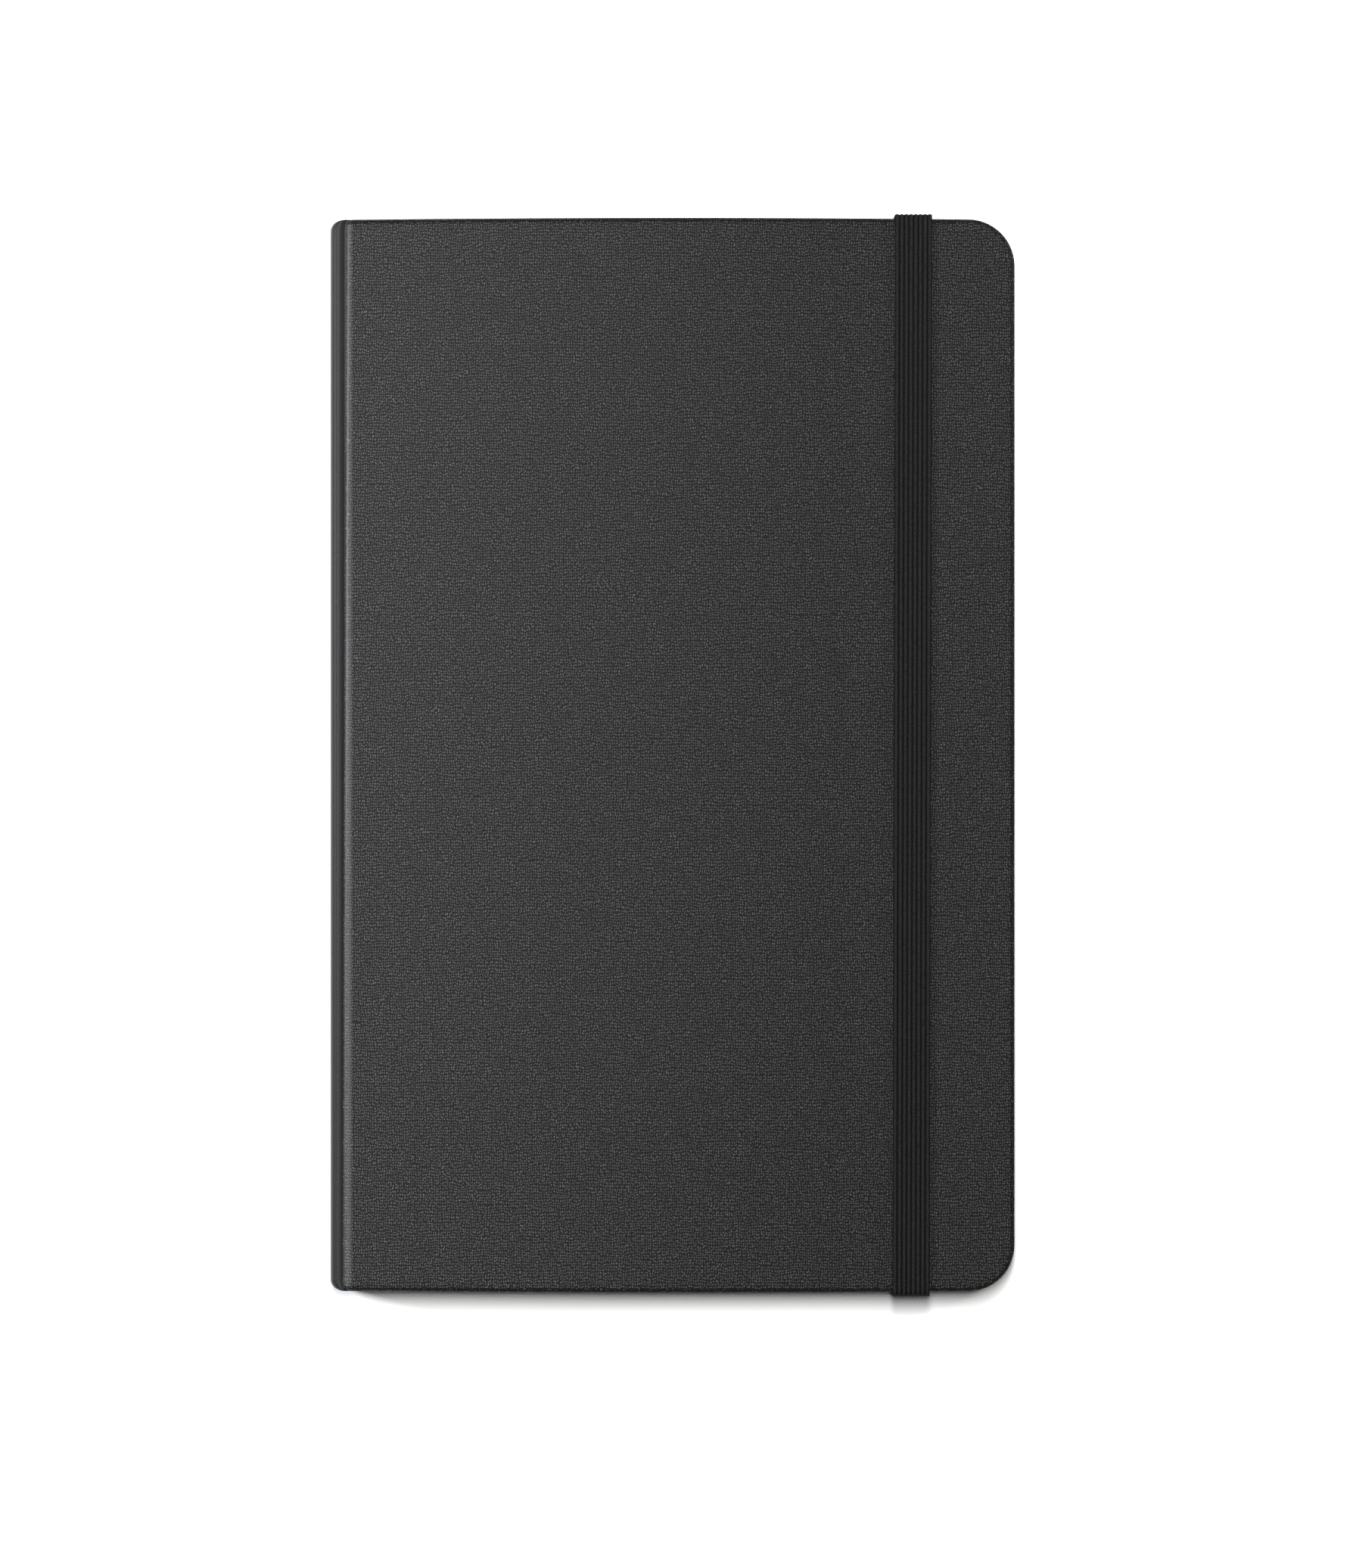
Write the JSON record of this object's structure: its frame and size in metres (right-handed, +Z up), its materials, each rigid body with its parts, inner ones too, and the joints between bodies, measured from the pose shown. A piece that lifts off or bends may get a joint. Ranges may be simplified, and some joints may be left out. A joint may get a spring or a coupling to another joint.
{
  "type": "sketchbook",
  "caption": "Hardcover sewn sketchbook with black pebbled covering, rounded fore-edge corners, an elastic closing band and an inside back pocket; the cover and pages open flat.",
  "frame": {"origin": "on the table, under the middle of the closed book's box", "axes": "+X from the spine to the fore edge, +Y from the tail to the head, +Z up through the back cover, pages and front cover"},
  "size_m": [0.1334, 0.2112, 0.0167],
  "materials": {
    "leatherette": "satin",
    "greyboard": "matte",
    "infill_card": "matte",
    "endpaper": "matte",
    "drawing_paper": "matte",
    "black_cloth": "matte",
    "lining_cloth": "matte",
    "band_cloth": "matte",
    "thread": "matte",
    "elastic": "matte"
  },
  "bodies": {
    "back_cover": {"back_board": "greyboard", "back_cover_wrap": "leatherette", "back_infill_card": "infill_card", "back_pastedown": "endpaper", "pocket_panel": "endpaper", "pocket_gusset_spine_side": "black_cloth", "pocket_gusset_fore_edge_side": "black_cloth", "elastic_anchor_head": "elastic", "elastic_anchor_tail": "elastic"},
    "spine": {"spine_wrap": "leatherette", "spine_card": "greyboard", "spine_lining": "lining_cloth", "sewing_threads": "thread", "head_band": "band_cloth", "tail_band": "band_cloth"},
    "front_cover": {"front_board": "greyboard", "front_cover_wrap": "leatherette", "front_infill_card": "infill_card", "front_pastedown": "endpaper"},
    "front_flyleaf": {"front_flyleaf": "endpaper"},
    "signature_01": {"signature_01": "drawing_paper"},
    "signature_02": {"signature_02": "drawing_paper"},
    "signature_03": {"signature_03": "drawing_paper"},
    "signature_04": {"signature_04": "drawing_paper"},
    "signature_05": {"signature_05": "drawing_paper"},
    "signature_06": {"signature_06": "drawing_paper"},
    "signature_07": {"signature_07": "drawing_paper"},
    "signature_08": {"signature_08": "drawing_paper"},
    "signature_09": {"signature_09": "drawing_paper"},
    "signature_10": {"signature_10": "drawing_paper"},
    "signature_11": {"signature_11": "drawing_paper"},
    "signature_12": {"signature_12": "drawing_paper"},
    "signature_13": {"signature_13": "drawing_paper"},
    "back_flyleaf": {"back_flyleaf": "endpaper"},
    "elastic_band": {"elastic_band": "elastic"}
  },
  "joints": [
    {"name": "front_cover_hinge", "type": "hinge", "parent": "spine", "child": "front_cover", "pos_m": [-0.0655, 0, 0.01479], "axis": [0, -1, 0], "range_deg": [0, 90]},
    {"name": "spine_hinge", "type": "hinge", "parent": "back_cover", "child": "spine", "pos_m": [-0.0655, 0, 0.00105], "axis": [0, -1, 0], "range_deg": [0, 90]},
    {"name": "front_flyleaf_hinge", "type": "hinge", "parent": "spine", "child": "front_flyleaf", "pos_m": [-0.0655, 0, 0.01479], "axis": [0, -1, 0], "range_deg": [0, 89.4]},
    {"name": "signature_01_hinge", "type": "hinge", "parent": "spine", "child": "signature_01", "pos_m": [-0.0655, 0, 0.01479], "axis": [0, -1, 0], "range_deg": [0, 89]},
    {"name": "signature_02_hinge", "type": "hinge", "parent": "spine", "child": "signature_02", "pos_m": [-0.0655, 0, 0.01479], "axis": [0, -1, 0], "range_deg": [0, 88.5]},
    {"name": "signature_03_hinge", "type": "hinge", "parent": "spine", "child": "signature_03", "pos_m": [-0.0655, 0, 0.01479], "axis": [0, -1, 0], "range_deg": [0, 88.1]},
    {"name": "signature_04_hinge", "type": "hinge", "parent": "spine", "child": "signature_04", "pos_m": [-0.0655, 0, 0.01479], "axis": [0, -1, 0], "range_deg": [0, 87.6]},
    {"name": "signature_05_hinge", "type": "hinge", "parent": "spine", "child": "signature_05", "pos_m": [-0.0655, 0, 0.01479], "axis": [0, -1, 0], "range_deg": [0, 87.2]},
    {"name": "signature_06_hinge", "type": "hinge", "parent": "spine", "child": "signature_06", "pos_m": [-0.0655, 0, 0.01479], "axis": [0, -1, 0], "range_deg": [0, 86.7]},
    {"name": "back_flyleaf_hinge", "type": "hinge", "parent": "spine", "child": "back_flyleaf", "pos_m": [-0.0655, 0, 0.00105], "axis": [0, -1, 0], "range_deg": [-89.4, 0]},
    {"name": "signature_13_hinge", "type": "hinge", "parent": "spine", "child": "signature_13", "pos_m": [-0.0655, 0, 0.00105], "axis": [0, -1, 0], "range_deg": [-89, 0]},
    {"name": "signature_12_hinge", "type": "hinge", "parent": "spine", "child": "signature_12", "pos_m": [-0.0655, 0, 0.00105], "axis": [0, -1, 0], "range_deg": [-88.5, 0]},
    {"name": "signature_11_hinge", "type": "hinge", "parent": "spine", "child": "signature_11", "pos_m": [-0.0655, 0, 0.00105], "axis": [0, -1, 0], "range_deg": [-88.1, 0]},
    {"name": "signature_10_hinge", "type": "hinge", "parent": "spine", "child": "signature_10", "pos_m": [-0.0655, 0, 0.00105], "axis": [0, -1, 0], "range_deg": [-87.6, 0]},
    {"name": "signature_09_hinge", "type": "hinge", "parent": "spine", "child": "signature_09", "pos_m": [-0.0655, 0, 0.00105], "axis": [0, -1, 0], "range_deg": [-87.2, 0]},
    {"name": "signature_08_hinge", "type": "hinge", "parent": "spine", "child": "signature_08", "pos_m": [-0.0655, 0, 0.00105], "axis": [0, -1, 0], "range_deg": [-86.7, 0]},
    {"name": "signature_07_hinge", "type": "hinge", "parent": "spine", "child": "signature_07", "pos_m": [-0.0655, 0, 0.00105], "axis": [0, -1, 0], "range_deg": [-86.3, 0]},
    {"name": "elastic_slide", "type": "slide", "parent": "back_cover", "child": "elastic_band", "axis": [0.8758, 0, -0.4826], "range_m": [0, 0.028], "deforming": ["elastic_band"]}
  ],
  "couplings": [
    {"joint": "spine_hinge", "follows": "front_cover_hinge", "ratio": 1},
    {"joint": "front_flyleaf_hinge", "follows": "front_cover_hinge", "ratio": 0.99333},
    {"joint": "signature_01_hinge", "follows": "front_cover_hinge", "ratio": 0.98833},
    {"joint": "signature_02_hinge", "follows": "front_cover_hinge", "ratio": 0.98333},
    {"joint": "signature_03_hinge", "follows": "front_cover_hinge", "ratio": 0.97833},
    {"joint": "signature_04_hinge", "follows": "front_cover_hinge", "ratio": 0.97333},
    {"joint": "signature_05_hinge", "follows": "front_cover_hinge", "ratio": 0.96833},
    {"joint": "signature_06_hinge", "follows": "front_cover_hinge", "ratio": 0.96333},
    {"joint": "back_flyleaf_hinge", "follows": "front_cover_hinge", "ratio": -0.99333},
    {"joint": "signature_13_hinge", "follows": "front_cover_hinge", "ratio": -0.98833},
    {"joint": "signature_12_hinge", "follows": "front_cover_hinge", "ratio": -0.98333},
    {"joint": "signature_11_hinge", "follows": "front_cover_hinge", "ratio": -0.97833},
    {"joint": "signature_10_hinge", "follows": "front_cover_hinge", "ratio": -0.97333},
    {"joint": "signature_09_hinge", "follows": "front_cover_hinge", "ratio": -0.96833},
    {"joint": "signature_08_hinge", "follows": "front_cover_hinge", "ratio": -0.96333},
    {"joint": "signature_07_hinge", "follows": "front_cover_hinge", "ratio": -0.95833},
    {"joint": "elastic_slide", "follows": "front_cover_hinge", "m_per_rad": 0.017806}
  ]
}
